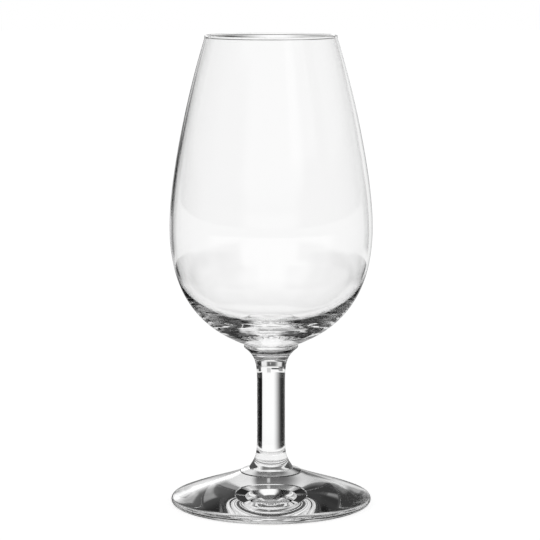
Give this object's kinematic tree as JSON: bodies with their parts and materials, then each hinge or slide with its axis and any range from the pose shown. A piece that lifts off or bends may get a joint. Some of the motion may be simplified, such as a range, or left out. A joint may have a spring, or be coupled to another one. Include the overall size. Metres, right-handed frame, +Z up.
{
  "type": "whisky nosing glass",
  "caption": "Clear stemmed tasting glass: a tulip bowl with a narrowed mouth and a thick base, on a slim round stem and a low cone-shaped foot.",
  "frame": {"origin": "centre of the plane that the foot's resting ring stands on", "axes": "+Z up along the glass's own axis, from the foot to the mouth; +X and +Y are any two level directions, because the glass is round"},
  "size_m": [0.0668, 0.0668, 0.155],
  "materials": {
    "bowl_glass": "clear colourless soda-lime glass, blown, with a fire-polished rim",
    "stem_glass": "clear colourless soda-lime glass, pressed and fire-polished",
    "foot_glass": "clear colourless soda-lime glass, pressed and fire-polished"
  },
  "bodies": {
    "root": {"bowl": "bowl_glass", "stem": "stem_glass", "foot": "foot_glass"}
  },
  "joints": []
}
